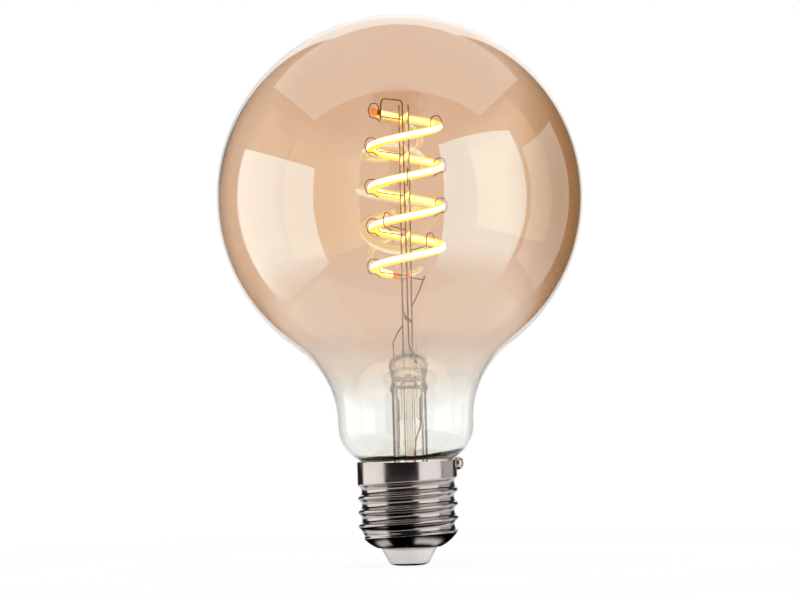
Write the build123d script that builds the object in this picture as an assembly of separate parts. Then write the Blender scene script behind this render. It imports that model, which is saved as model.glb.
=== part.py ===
from build123d import *
import os
from math import acos, cos, pi, radians, sin, sqrt, tan

# A clear globe filament lamp with a screw cap, cap down, axis on Z.
# The origin is the middle of the flat on the centre contact.
# X is to the right, the photographed side faces -Y.

# Centre contact and insulator
CONTACT_R = 5.1
CONTACT_FLAT_R = 2.6
CONTACT_T = 0.6
EYELET_R = 1.0
EYELET_BORE_R = 0.45
EYELET_RISE = 0.8
INSULATOR_CONE_H = 4.15
INSULATOR_TOP_R = 7.35
INSULATOR_NECK_R = 6.6
INSULATOR_DISC_R = 8.0
INSULATOR_DISC_T = 1.2

# Screw shell, rolled from thin sheet
SHEET = 0.3
SHELL_H = 22.35
SHELL_LIP_R = 8.3
SHOULDER_H = 4.1
SHOULDER_SAG = 0.45
THREAD_D = 26.05
THREAD_DEPTH = 1.0
THREAD_PITCH = 3.629
THREAD_TURNS = 3.7
GROOVE_W = 2.7
GROOVE_FLOOR_W = 1.0
GROOVE_FILLET_R = 0.55
COLLAR_H = 5.8
GROOVE_END_ANGLE = 20.0

# Basing cement between the shell and the neck of the globe
CEMENT_BELOW_RIM = 4.2
CEMENT_DIP = 0.1

# Globe envelope, blown glass
GLOBE_D = 95.0
GLASS_WALL = 0.8
NECK_D = 35.3
NECK_FILLET_R = 24.0
NECK_STRAIGHT = 1.0
SHOULDER_R = 10.0
SHOULDER_ABOVE_RIM = 9.3
SEAL_CLEARANCE = 0.725
SEAL_FILLET_R = 1.5
SEAL_BELOW_RIM = 5.6

# Glass stem: flare, tube, press and rounded head
STEM_X = 1.05
STEM_D = 9.0
STEM_WALL = 0.9
CAVITY_H = 25.5
PRESS_T = 1.0
WAIST_R = 4.3
HEAD_R = 5.2
HEAD_SIDE_H = 4.2
HEAD_ROUND_R = 3.6
SLEEVE_R = 0.95
SLEEVE_SPREAD = 2.85
SLEEVE_H = 9.4
BUBBLE_R = 2.4
VENT_R = 1.3
EXHAUST_D = 2.86
EXHAUST_BORE_D = 1.7
EXHAUST_TAIL = 8.5

# Glass support rod
ROD_D = 2.8
ROD_H = 63.7
ROD_LEAN = 0.6

# Spiral filament, a silicone-coated flexible strip
COIL_X = 1.73
COIL_R = 8.85
COIL_PITCH = 10.4
COIL_RISE = 62.3
COIL_TOP_ANGLE = 152.0
COIL_END_ANGLE = 92.0
COIL_DROPS = 4
STRIP_R = 1.05
TAB_W = 1.0
TAB_T = 0.3
PAD_W = 1.4
PAD_H = 1.5
PAD_T = 0.2
PAD_ANGLE = 146.0

# Wires
LEAD_R = 0.2
SEAL_WIRE_R = 0.2
SUPPORT_R = 0.15
SUPPORT_GAP = 0.15
SUPPORT_EMBED = 0.85
SUPPORT_BEND_R = 0.75
LEAD_GAP = 0.15

# Driver in the cap
BOARD_T = 1.0
BOARD_RISE = 2.0
BOARD_GAP = 0.25
CAPACITOR_D = 8.0
CAPACITOR_H = 9.5
RECTIFIER = (4.7, 4.0, 2.5)
CHIP = (4.9, 3.9, 1.5)
CHIP_RESISTOR = (3.2, 1.6, 0.6)
FUSE_D = 2.4
FUSE_H = 6.5
FUSE_LEG = 1.5
HOOKUP_R = 0.25
RIM_WIRE_R = 0.18
RIM_WIRE_GAP = 0.16

# Solder bead on the rim
BEAD_R = 1.4
BEAD_HALF_H = 1.7
BEAD_DROP = 0.95
BEAD_OUT = 0.25

# Levels worked out from the sizes above
LIP_Z = CONTACT_T + INSULATOR_CONE_H
RIM_Z = LIP_Z + SHELL_H
CREST_R = THREAD_D / 2
SHELL_IN_R = CREST_R - SHEET
ROOT_IN_R = SHELL_IN_R - THREAD_DEPTH
SEAL_TUBE_R = ROOT_IN_R - SEAL_CLEARANCE
SEAL_Z = RIM_Z - SEAL_BELOW_RIM
STEM_R = STEM_D / 2
FLARE_TOP_Z = SEAL_Z
FLARE_R = SEAL_TUBE_R - GLASS_WALL - STEM_X - STEM_R
CAVITY_TOP_Z = FLARE_TOP_Z + CAVITY_H
PRESS_TOP_Z = CAVITY_TOP_Z + PRESS_T
HEAD_SHOULDER_Z = PRESS_TOP_Z + HEAD_SIDE_H
HEAD_TOP_Z = HEAD_SHOULDER_Z + HEAD_ROUND_R
ROD_R = ROD_D / 2
COIL_TOP_Z = HEAD_TOP_Z + COIL_RISE
BOARD_Z = LIP_Z + SHEET + INSULATOR_DISC_T + BOARD_RISE
BOARD_TOP_Z = BOARD_Z + BOARD_T


def save(node, shape):
    """Writes one node as parts/NODE.step."""
    shape.label = node
    export_step(shape, f"parts/{node}.step")


def polar(radius, angle, z, centre_x=0.0):
    """A point at a radius and an angle in degrees from +X, seen from above."""
    turn = radians(angle)
    return Vector(centre_x + radius * cos(turn), radius * sin(turn), z)


def spun(outline, centre_x=0.0):
    """A solid of revolution about a vertical axis, from a closed outline in XZ."""
    axis = Axis((centre_x, 0, 0), (0, 0, 1))
    face = make_face(outline)
    return revolve(Pos(centre_x, 0, 0) * face, axis=axis)


def drum(radius, low, high, centre=(0.0, 0.0)):
    """An upright cylinder between two levels."""
    height = high - low
    return Pos(centre[0], centre[1], low + height / 2) * Cylinder(radius, height)


def round_wire(points, radius, bend):
    """A round wire along straight runs, joined by arcs of at most the given radius."""
    points = [Vector(p) for p in points]
    if len(points) == 2:
        path = Line(points[0], points[1])
    else:
        radii = []
        for before, corner, after in zip(points, points[1:], points[2:]):
            run_in = corner - before
            run_out = after - corner
            half_turn = radians(run_in.get_angle(run_out)) / 2
            room = 0.45 * min(run_in.length, run_out.length) / tan(half_turn)
            radii.append(min(bend, room))
        path = FilletPolyline(*points, radius=radii)
    section = Plane(origin=path @ 0, z_dir=path % 0) * Circle(radius)
    return sweep(section, path=path)


# The globe's outline: sphere, concave fillet, short neck, rounded shoulder, seal tube.
# Its arcs keep their centres, so an inset outline is everywhere the wall inside it.
def globe_outline(inset):
    neck_r = NECK_D / 2
    globe_r = GLOBE_D / 2
    tube_r = SEAL_TUBE_R
    shoulder = Vector(neck_r - SHOULDER_R, RIM_Z + SHOULDER_ABOVE_RIM)
    fillet = Vector(neck_r + NECK_FILLET_R, shoulder.Y + NECK_STRAIGHT)
    reach = globe_r + NECK_FILLET_R
    globe = Vector(0, fillet.Y + sqrt(reach ** 2 - fillet.X ** 2))
    foot_x = tube_r + SEAL_FILLET_R
    foot_reach = SHOULDER_R + SEAL_FILLET_R
    foot_drop = sqrt(foot_reach ** 2 - (foot_x - shoulder.X) ** 2)
    foot = Vector(foot_x, shoulder.Y - foot_drop)

    def on_arc(centre, radius, angle):
        return (centre.X + radius * cos(angle), 0, centre.Y + radius * sin(angle))

    def arc(centre, radius, start, end):
        middle = (start + end) / 2
        ends = [on_arc(centre, radius, a) for a in (start, middle, end)]
        return ThreePointArc(*ends)

    blend = -acos(fillet.X / reach)
    step = -acos((foot.X - shoulder.X) / foot_reach)
    sphere = arc(globe, globe_r - inset, pi / 2, blend)
    concave = arc(fillet, NECK_FILLET_R + inset, pi + blend, pi)
    side = Line(concave @ 1, (neck_r - inset, 0, shoulder.Y))
    convex = arc(shoulder, SHOULDER_R - inset, 0, step)
    tuck = arc(foot, SEAL_FILLET_R + inset, pi + step, pi)
    tube = Line(tuck @ 1, (tube_r - inset, 0, SEAL_Z))
    end = Line(tube @ 1, (0, 0, SEAL_Z))
    axis = Line(end @ 1, sphere @ 0)
    return sphere + concave + side + convex + tuck + tube + end + axis


def globe_body(inset):
    return spun(globe_outline(inset))


# The shell before its thread: collar, rounded shoulder and the hole for the insulator.
def shell_body(inset):
    corner_z = LIP_Z + SHOULDER_H
    chord_r = CREST_R - SHELL_LIP_R
    chord = sqrt(chord_r ** 2 + SHOULDER_H ** 2)
    arc_r = (chord ** 2 / 4 + SHOULDER_SAG ** 2) / (2 * SHOULDER_SAG)
    along = Vector(chord_r, SHOULDER_H) * (1 / chord)
    inward = Vector(-along.Y, along.X)
    middle = Vector((CREST_R + SHELL_LIP_R) / 2, (corner_z + LIP_Z) / 2)
    centre = middle + inward * (arc_r - SHOULDER_SAG)
    radius = arc_r - inset
    side_r = CREST_R - inset
    floor_z = LIP_Z + inset
    high = (side_r, 0, centre.Y - sqrt(radius ** 2 - (side_r - centre.X) ** 2))
    low_r = centre.X + sqrt(radius ** 2 - (centre.Y - floor_z) ** 2)
    bulge = centre - inward * radius
    shoulder = ThreePointArc(high, (bulge.X, 0, bulge.Y), (low_r, 0, floor_z))
    side = Line((side_r, 0, RIM_Z), high)
    floor = Line(shoulder @ 1, (0, 0, floor_z))
    axis = Line(floor @ 1, (0, 0, RIM_Z))
    top = Line(axis @ 1, side @ 0)
    return spun(side + shoulder + floor + axis + top)


# The rolled groove: a rounded trough along a right-hand helix, which leaves
# the shell in line at both ends. Grown by the sheet, it shapes the inside.
def groove(grow):
    height = THREAD_PITCH * THREAD_TURNS
    top_z = RIM_Z - COLLAR_H + THREAD_PITCH * GROOVE_END_ANGLE / 360
    start_angle = GROOVE_END_ANGLE - 360 * THREAD_TURNS
    helix = Edge.make_helix(THREAD_PITCH, height, CREST_R)
    helix = Pos(0, 0, top_z - height) * Rot(0, 0, start_angle) * helix
    depth = THREAD_DEPTH + grow
    half_floor = GROOVE_FLOOR_W / 2 + grow / 2
    half_mouth = GROOVE_W / 2 + grow / 2
    over = 1.0
    slope = (half_mouth - half_floor) / depth
    flare = half_mouth + over * slope

    def section(at, ahead):
        outward = Vector(at.X, at.Y, 0).normalized()
        plane = Plane(origin=at, x_dir=outward, z_dir=ahead)
        trough = Polygon(
            (over, -flare), (over, flare), (-depth, half_floor), (-depth, -half_floor), align=None
        )
        corners = trough.vertices().group_by(Axis.X)[0]
        return plane * fillet(corners, radius=GROOVE_FILLET_R)

    start = section(helix @ 0, helix % 0)
    end = section(helix @ 1, helix % 1)
    run_out = 2 * sqrt(CREST_R ** 2 - (CREST_R - depth) ** 2)
    cut = [sweep(start, path=Wire([helix]), is_frenet=True)]
    cut.append(extrude(start, amount=run_out, dir=-(helix % 0)))
    cut.append(extrude(end, amount=run_out, dir=helix % 1))
    return cut


def screw_shell():
    outer = shell_body(0)
    inner = shell_body(SHEET)
    for tool in groove(0):
        outer = outer - tool
    for tool in groove(SHEET):
        inner = inner - tool
    mouth = drum(INSULATOR_NECK_R, LIP_Z - SHEET, LIP_Z + 2 * SHEET)
    return outer - inner - mouth


def insulator():
    """A pressed cone with a neck that the shell's lip closes round, and a disc above it."""
    lip_top = LIP_Z + SHEET
    cone = Pos(0, 0, CONTACT_T + INSULATOR_CONE_H / 2) * Cone(CONTACT_R, INSULATOR_TOP_R, INSULATOR_CONE_H)
    neck = drum(INSULATOR_NECK_R, LIP_Z, lip_top)
    disc = drum(INSULATOR_DISC_R, lip_top, lip_top + INSULATOR_DISC_T)
    bore = drum(EYELET_R, 0, lip_top + 2 * INSULATOR_DISC_T)
    return cone + neck + disc - bore


def centre_contact():
    """A pressed contact with a domed edge, a flat middle and a hollow eyelet."""
    flat = Line((0, 0, 0), (CONTACT_FLAT_R, 0, 0))
    dome = TangentArc((CONTACT_FLAT_R, 0, 0), (CONTACT_R, 0, CONTACT_T), tangent=(1, 0, 0))
    top = Line(dome @ 1, (0, 0, CONTACT_T))
    axis = Line(top @ 1, (0, 0, 0))
    eyelet_top = LIP_Z + SHEET + INSULATOR_DISC_T + EYELET_RISE
    eyelet = drum(EYELET_R, CONTACT_T, eyelet_top)
    bore = drum(EYELET_BORE_R, -CONTACT_T, eyelet_top + CONTACT_T)
    return spun(flat + dome + top + axis) + eyelet - bore


def basing_cement(globe, rim_wire):
    low = RIM_Z - CEMENT_BELOW_RIM
    ring = drum(SHELL_IN_R, low, RIM_Z - CEMENT_DIP)
    return ring - globe - rim_wire


# The stem is one piece of glass: flare, tube, press and head. Its profile is outer, then inner.
def stem_glass(wires):
    ring_r = STEM_R + FLARE_R
    straight_z = FLARE_TOP_Z + FLARE_R
    inner_r = STEM_R - STEM_WALL
    throat = FLARE_R + STEM_WALL
    far_r = SEAL_TUBE_R + STEM_X
    tilt = radians(45)

    flange = Line((far_r, 0, FLARE_TOP_Z), (ring_r, 0, FLARE_TOP_Z))
    outer_mid = (ring_r - FLARE_R * cos(tilt), 0, straight_z - FLARE_R * sin(tilt))
    outer_flare = ThreePointArc(flange @ 1, outer_mid, (STEM_R, 0, straight_z))
    tube = Line(outer_flare @ 1, (STEM_R, 0, CAVITY_TOP_Z - PRESS_T))
    waist = Line(tube @ 1, (WAIST_R, 0, CAVITY_TOP_Z + PRESS_T / 2))
    side = Line(waist @ 1, (HEAD_R, 0, HEAD_SHOULDER_Z))
    lean_in = HEAD_R - HEAD_ROUND_R
    crown_mid = (lean_in + HEAD_ROUND_R * cos(tilt), 0, HEAD_SHOULDER_Z + HEAD_ROUND_R * sin(tilt))
    crown = ThreePointArc(side @ 1, crown_mid, (lean_in, 0, HEAD_TOP_Z))
    top = Line(crown @ 1, (0, 0, HEAD_TOP_Z))
    axis = Line(top @ 1, (0, 0, CAVITY_TOP_Z))
    ceiling = Line(axis @ 1, (inner_r, 0, CAVITY_TOP_Z))
    bore = Line(ceiling @ 1, (inner_r, 0, straight_z))
    inner_mid = (ring_r - throat * cos(tilt), 0, straight_z - throat * sin(tilt))
    inner_flare = ThreePointArc(bore @ 1, inner_mid, (ring_r, 0, FLARE_TOP_Z - STEM_WALL))
    underside = Line(inner_flare @ 1, (far_r, 0, FLARE_TOP_Z - STEM_WALL))
    edge = Line(underside @ 1, flange @ 0)
    outline = flange + outer_flare + tube + waist + side + crown + top + axis
    outline = outline + ceiling + bore + inner_flare + underside + edge
    glass = spun(outline, STEM_X)

    for hand in (-1, 1):
        x = STEM_X + hand * SLEEVE_SPREAD
        low = CAVITY_TOP_Z - SLEEVE_H + SLEEVE_R
        glass = glass + drum(SLEEVE_R, low, CAVITY_TOP_Z, (x, 0))
        glass = glass + Pos(x, 0, low) * Sphere(SLEEVE_R)

    rim = drum(SEAL_TUBE_R, FLARE_TOP_Z - 2 * STEM_WALL, HEAD_TOP_Z + STEM_WALL)
    glass = glass & rim
    tip = Vector(STEM_X, 0, PRESS_TOP_Z)
    glass = glass - Pos(tip) * Sphere(BUBBLE_R, arc_size1=0)
    vent = Rot(90, 0, 0) * Cylinder(VENT_R, HEAD_R * 2, align=(Align.CENTER, Align.CENTER, Align.MIN))
    glass = glass - Pos(tip + Vector(0, 0, VENT_R)) * vent
    glass = glass - drum(EXHAUST_D / 2, CAVITY_TOP_Z - PRESS_T, PRESS_TOP_Z, (STEM_X, 0))
    for wire in wires:
        glass = glass - wire
    return glass


def exhaust_tube():
    """The pumping tube, open in the press and drawn to a closed tip in the cap."""
    outer_r = EXHAUST_D / 2
    bore_r = EXHAUST_BORE_D / 2
    tip_z = FLARE_TOP_Z - EXHAUST_TAIL
    tube = drum(outer_r, tip_z + outer_r, PRESS_TOP_Z, (STEM_X, 0))
    tip = Pos(STEM_X, 0, tip_z + outer_r) * Sphere(outer_r)
    bore = drum(bore_r, tip_z + outer_r, PRESS_TOP_Z + outer_r, (STEM_X, 0))
    return tube + tip - bore


def support_rod(supports):
    lean = Pos(STEM_X, 0, HEAD_TOP_Z) * Rot(0, ROD_LEAN, 0)
    rod = lean * Pos(0, 0, ROD_H / 2) * Cylinder(ROD_R, ROD_H + ROD_D)
    floor = Box(8 * ROD_D, 8 * ROD_D, 8 * ROD_D, align=(Align.CENTER, Align.CENTER, Align.MAX))
    rod = rod - Pos(STEM_X, 0, HEAD_TOP_Z) * floor
    rod = rod - Pos(STEM_X, 0, HEAD_TOP_Z + ROD_H + 8 * ROD_D) * floor
    for support in supports:
        rod = rod - support
    return rod


def coil_z(angle, drop):
    """The strip's level at an angle from +X, a number of whole turns below the top one."""
    right_z = COIL_TOP_Z - COIL_PITCH * COIL_TOP_ANGLE / 360
    return right_z - COIL_PITCH * drop + COIL_PITCH * angle / 360


def led_filament():
    """The coated strip: a right-hand spiral with a rounded upper end."""
    low_z = coil_z(COIL_END_ANGLE, COIL_DROPS)
    height = COIL_TOP_Z - low_z
    helix = Edge.make_helix(COIL_PITCH, height, COIL_R)
    helix = Pos(COIL_X, 0, low_z) * Rot(0, 0, COIL_END_ANGLE) * helix
    section = Plane(origin=helix @ 0, z_dir=helix % 0) * Circle(STRIP_R)
    strip = sweep(section, path=Wire([helix]), is_frenet=True)
    dome = Sphere(STRIP_R, arc_size1=0)
    return strip + Plane(origin=helix @ 1, z_dir=helix % 1) * dome


def lower_tab(weld):
    """A flat terminal from the strip's lower end to the left lead."""
    start = polar(COIL_R, COIL_END_ANGLE, coil_z(COIL_END_ANGLE, COIL_DROPS), COIL_X)
    slope = COIL_PITCH / (2 * pi * COIL_R)
    turn = radians(COIL_END_ANGLE)
    ahead = Vector(sin(turn), -cos(turn), -slope).normalized()
    flat = Vector(cos(turn), sin(turn), 0)
    section = Plane(origin=start, x_dir=flat, z_dir=ahead) * Rectangle(TAB_W, TAB_T)
    length = (weld - start).dot(ahead)
    return extrude(section, amount=length + TAB_W / 2)


def upper_pad():
    """A small terminal plate on the inner side of the strip's upper end."""
    z = coil_z(PAD_ANGLE, 0)
    at = polar(COIL_R - STRIP_R - PAD_T / 2, PAD_ANGLE, z, COIL_X)
    return Pos(at) * Rot(0, 0, PAD_ANGLE) * Box(PAD_T, PAD_W, PAD_H)


# A support wire: out from the rod, up the strip's inner side, in an open loop over it,
# down outside and back under it to a short tail.
def support_wire(angle, drop):
    inner = STRIP_R + SUPPORT_GAP + SUPPORT_R
    centre_z = coil_z(angle, drop)
    path = [
        (-COIL_R + ROD_R - SUPPORT_EMBED, -1.7 * inner),
        (-inner, -0.85 * inner),
        (-inner, 0.9 * inner),
        (-0.55 * inner, 1.65 * inner),
        (0.7 * inner, 1.65 * inner),
        (1.35 * inner, 0.5 * inner),
        (1.0 * inner, -1.05 * inner),
        (-0.2 * inner, -1.15 * inner),
        (-1.2 * inner, -1.85 * inner),
    ]
    points = [polar(COIL_R + u, angle, centre_z + v, COIL_X) for u, v in path]
    return round_wire(points, SUPPORT_R, SUPPORT_BEND_R)


SUPPORTS = [(150, 0), (22, 0), (-167, 0), (-4, 1), (-87, 1), (-178, 1), (-3, 2), (-125, 2), (-172, 2)]
SUPPORTS = SUPPORTS + [(48, 3), (-175, 3)]

# Lead routes, each as offsets from the stem's axis and levels above the head or the press.
STRIP_TOP_WELD = polar(COIL_R - STRIP_R - PAD_T - LEAD_R, PAD_ANGLE, coil_z(PAD_ANGLE, 0), COIL_X)


def from_stem(x, y, rise):
    return Vector(STEM_X + x, y, CAVITY_TOP_Z + rise)


def left_seal_route():
    tail_z = BOARD_TOP_Z
    return [
        Vector(-3.6, -2.2, tail_z),
        Vector(-2.6, -0.8, SEAL_Z - 1.5),
        from_stem(-SLEEVE_SPREAD, 0, -13.5),
        from_stem(-SLEEVE_SPREAD, 0, -3.4),
        from_stem(-4.85, -1.2, -1.4),
        from_stem(-4.1, -3.1, 1.3),
        from_stem(-3.6, -4.2, 4.0),
        from_stem(-3.65, -4.2, 7.3),
    ]


def right_seal_route():
    tail_z = BOARD_TOP_Z
    return [
        Vector(0.5, -6.0, tail_z),
        Vector(1.2, -2.6, SEAL_Z - 1.5),
        from_stem(1.4, -1.9, -14.5),
        from_stem(SLEEVE_SPREAD, 0, -10.6),
        from_stem(SLEEVE_SPREAD, 0, -3.2),
        from_stem(4.85, -1.3, -1.2),
        from_stem(3.95, -3.3, 1.8),
        from_stem(3.45, -4.4, 4.0),
        from_stem(3.1, -4.7, 5.7),
        from_stem(1.9, -5.1, 6.4),
    ]


def left_lead_route(weld):
    start = left_seal_route()[-1]
    return [
        start,
        start + Vector(0.0, 0.3, 1.5),
        from_stem(-3.8, -2.4, 10.9),
        from_stem(-2.1, 0.9, 14.1),
        from_stem(-0.2, 2.3, 16.2),
        from_stem(1.0, 3.4, 19.3),
        weld + Vector(-1.35, -1.7, -3.3),
        weld + Vector(0.45, 0.2, 1.1),
    ]


def right_lead_route():
    start = right_seal_route()[-1]
    front_y = -ROD_R - LEAD_GAP - LEAD_R
    over_z = HEAD_TOP_Z + ROD_H + 1.1
    end = STRIP_TOP_WELD
    return [
        start,
        from_stem(1.5, -4.35, 7.9),
        from_stem(1.05, -3.1, 9.2),
        from_stem(0.3, front_y, 10.6),
        Vector(STEM_X + 0.3, front_y, over_z),
        Vector(end.X + 0.3, end.Y - 0.3, over_z + 0.9),
        Vector(end.X, end.Y, end.Z - 1.9),
    ]


# The side contact wire: up inside the shell, past the seal, over the rim and into the bead.
def rim_wire_route():
    run_r = SEAL_TUBE_R + RIM_WIRE_GAP + RIM_WIRE_R
    edge_r = SHELL_IN_R - RIM_WIRE_GAP - RIM_WIRE_R
    over_z = RIM_Z + RIM_WIRE_GAP + RIM_WIRE_R
    pad_r = run_r - 1.6
    return [
        Vector(pad_r, 0, BOARD_TOP_Z),
        Vector(pad_r, 0, BOARD_TOP_Z + 1.2),
        Vector(run_r, 0, BOARD_TOP_Z + 3.2),
        Vector(run_r, 0, SEAL_Z + 2.0),
        Vector(edge_r, 0, RIM_Z - 1.0),
        Vector(edge_r, 0, over_z),
        Vector(CREST_R + BEAD_R / 2, 0, over_z),
    ]


def rim_bead(rim_wire):
    """Solder hooked over the rim, round the end of the side contact wire."""
    straight = BEAD_HALF_H - BEAD_R
    bead = Cylinder(BEAD_R, 2 * straight)
    bead = bead + Pos(0, 0, straight) * Sphere(BEAD_R) + Pos(0, 0, -straight) * Sphere(BEAD_R)
    bead = Pos(CREST_R + BEAD_OUT, 0, RIM_Z - BEAD_DROP) * bead
    bead = bead - drum(CREST_R, LIP_Z, RIM_Z)
    return bead - rim_wire


def board_radius():
    """The driver board lies just inside the shell's shoulder."""
    slope = (CREST_R - SHELL_LIP_R) / SHOULDER_H
    chord_r = SHELL_LIP_R + slope * (BOARD_Z - LIP_Z)
    return min(chord_r - SHEET * 1.6, ROOT_IN_R) - BOARD_GAP


def driver_board():
    board = drum(board_radius(), BOARD_Z, BOARD_TOP_Z)
    return board - drum(HOOKUP_R, BOARD_Z - BOARD_T, BOARD_TOP_Z + BOARD_T)


def on_board(size, x, y):
    length, width, height = size
    block = Box(length, width, height, align=(Align.CENTER, Align.CENTER, Align.MIN))
    top_edges = block.edges().group_by(Axis.Z)[-1]
    return Pos(x, y, BOARD_TOP_Z) * chamfer(top_edges, height * 0.12)


def under_board(size, x, y):
    length, width, height = size
    block = Box(length, width, height, align=(Align.CENTER, Align.CENTER, Align.MAX))
    return Pos(x, y, BOARD_Z) * block


def smoothing_capacitor():
    """An upright aluminium can with its rolled groove near the foot."""
    at = (5.9, -4.6)
    can = drum(CAPACITOR_D / 2, BOARD_TOP_Z, BOARD_TOP_Z + CAPACITOR_H, at)
    can = fillet(can.edges().group_by(Axis.Z)[-1], radius=0.5)
    ring = Pos(at[0], at[1], BOARD_TOP_Z + 1.6) * Torus(CAPACITOR_D / 2 + 0.1, 0.4)
    return can - ring


def fuse_resistor():
    """An upright wire-ended resistor that works as the fuse."""
    at = (-6.4, 4.4)
    low = BOARD_TOP_Z + FUSE_LEG
    body = drum(FUSE_D / 2, low, low + FUSE_H, at)
    body = fillet(body.edges(), radius=0.5)
    leg_x = at[0] + FUSE_D / 2 + 0.8
    route = [
        (at[0], at[1], low + FUSE_H),
        (at[0], at[1], low + FUSE_H + 1.0),
        (leg_x, at[1], low + FUSE_H + 1.0),
        (leg_x, at[1], BOARD_TOP_Z),
    ]
    return body + round_wire(route, HOOKUP_R, 0.45) + drum(HOOKUP_R, BOARD_TOP_Z, low, at)


def live_wire():
    return drum(HOOKUP_R, CONTACT_T, BOARD_TOP_Z)


def contact_solder():
    plug = drum(EYELET_BORE_R, 0, 2 * CONTACT_T)
    return plug - live_wire()


def main():
    os.makedirs("parts", exist_ok=True)
    globe = globe_body(0)
    rim_wire = round_wire(rim_wire_route(), RIM_WIRE_R, 0.6)
    weld = polar(COIL_R - 0.4, 63, coil_z(COIL_END_ANGLE, COIL_DROPS) - 0.9, COIL_X)
    left_lead = round_wire(left_lead_route(weld), LEAD_R, 2.5)
    right_lead = round_wire(right_lead_route(), LEAD_R, 1.2)
    left_seal = round_wire(left_seal_route(), SEAL_WIRE_R, 1.5)
    right_seal = round_wire(right_seal_route(), SEAL_WIRE_R, 1.5)
    supports = [support_wire(angle, drop) for angle, drop in SUPPORTS]

    save("globe_envelope", globe - globe_body(GLASS_WALL))
    save("stem_glass", stem_glass([left_seal, right_seal]))
    save("exhaust_tube", exhaust_tube())
    save("support_rod", support_rod(supports))
    for number, support in enumerate(supports, 1):
        save(f"support_wire_{number}", support)
    save("led_filament", led_filament())
    save("filament_tab_lower", lower_tab(weld))
    save("filament_pad_upper", upper_pad())
    save("lead_wire_left", left_lead)
    save("lead_wire_right", right_lead)
    save("seal_wire_left", left_seal)
    save("seal_wire_right", right_seal)

    save("screw_shell", screw_shell())
    save("insulator", insulator())
    save("centre_contact", centre_contact())
    save("contact_solder", contact_solder())
    save("basing_cement", basing_cement(globe, rim_wire))
    save("rim_solder_bead", rim_bead(rim_wire))
    save("rim_wire", rim_wire)

    save("driver_board", driver_board())
    save("smoothing_capacitor", smoothing_capacitor())
    save("bridge_rectifier", on_board(RECTIFIER, -6.8, -2.6))
    save("driver_chip", on_board(CHIP, 3.8, 4.9))
    save("sense_resistor", under_board(CHIP_RESISTOR, 5.0, 0.0))
    save("fuse_resistor", fuse_resistor())
    save("live_wire", live_wire())


main()
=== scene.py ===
"""A globe filament lamp, dressed on its CAD frame: amber glass, rolled screw cap and a lit spiral."""

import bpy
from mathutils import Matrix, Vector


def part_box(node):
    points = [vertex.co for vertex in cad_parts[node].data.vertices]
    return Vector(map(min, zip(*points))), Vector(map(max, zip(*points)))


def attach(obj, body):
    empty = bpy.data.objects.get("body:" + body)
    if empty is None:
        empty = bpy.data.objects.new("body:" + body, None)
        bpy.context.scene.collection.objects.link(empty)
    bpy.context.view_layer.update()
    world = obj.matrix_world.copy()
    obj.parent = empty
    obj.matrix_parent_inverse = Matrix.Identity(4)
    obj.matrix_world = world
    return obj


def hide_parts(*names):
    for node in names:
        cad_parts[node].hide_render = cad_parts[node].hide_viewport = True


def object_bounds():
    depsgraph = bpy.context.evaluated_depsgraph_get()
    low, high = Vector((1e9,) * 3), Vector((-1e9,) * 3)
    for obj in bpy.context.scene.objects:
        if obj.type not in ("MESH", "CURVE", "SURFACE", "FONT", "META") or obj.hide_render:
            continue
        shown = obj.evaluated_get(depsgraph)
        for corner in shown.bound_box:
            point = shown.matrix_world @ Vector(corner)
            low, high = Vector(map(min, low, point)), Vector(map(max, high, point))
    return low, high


bl_info = {
    "name": "Globe Filament Lamp",
    "version": (1, 0, 0),
    "blender": (4, 5, 0),
    "location": "3D View > Sidebar > Lamp",
    "description": "Models the glass, cap, spiral and wires of a globe filament lamp on its CAD frame",
    "category": "Object",
}

from math import acos, atan2, cos, degrees, pi, radians, sin, sqrt

import bpy
from mathutils import Matrix, Vector

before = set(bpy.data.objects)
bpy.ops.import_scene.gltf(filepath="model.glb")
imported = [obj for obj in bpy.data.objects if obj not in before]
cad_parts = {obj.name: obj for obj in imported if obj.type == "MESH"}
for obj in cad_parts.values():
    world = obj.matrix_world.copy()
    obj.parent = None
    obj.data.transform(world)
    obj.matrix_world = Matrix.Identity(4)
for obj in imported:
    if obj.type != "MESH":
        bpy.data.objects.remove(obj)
CAD_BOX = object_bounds()
SHELL_LOW, SHELL_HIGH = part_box("screw_shell")
ROD_LOW, ROD_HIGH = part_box("support_rod")
TUBE_LOW, TUBE_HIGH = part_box("exhaust_tube")
STEM_X = (TUBE_LOW.x + TUBE_HIGH.x) / 2
TUBE_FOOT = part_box("globe_envelope")[0].z
MM = 0.001

SUPPORT_COUNT = 11
# The chips sit 1.2 mm apart.
CHIPS_IN_A_TURN = 46
# Points of a mesh that are nearer than these are one point.
SAME_POINT = 1e-7
LATHE_MERGE = 1e-6

# The lustre mirrors more light than bare glass, and more blue and green than red.
SODA_LIME_IOR = 1.52
DRAWN_GLASS_IOR = 1.5
LUSTRE_IOR = 2.2
LUSTRE_MIRRORS = (0.38, 0.80, 1.0, 1.0)
UNTINTED = (1.0, 1.0, 1.0, 1.0)


# ---------------------------------------------------------------- colours and nodes

def hex_colour(code):
    """Linear RGBA from an sRGB hex value."""
    channels = [int(code[i:i + 2], 16) / 255 for i in (0, 2, 4)]
    linear = [c / 12.92 if c <= 0.04045 else ((c + 0.055) / 1.055) ** 2.4 for c in channels]
    return (*linear, 1.0)


def add_node(tree, kind, inputs=None, **settings):
    """Adds one node. Each input is a number, a colour's hex code or another node's output."""
    node = tree.nodes.new(kind)
    for name, setting in settings.items():
        setattr(node, name, setting)
    for socket, item in (inputs or {}).items():
        if isinstance(item, bpy.types.NodeSocket):
            tree.links.new(item, node.inputs[socket])
        else:
            node.inputs[socket].default_value = hex_colour(item) if isinstance(item, str) else item
    return node


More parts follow.
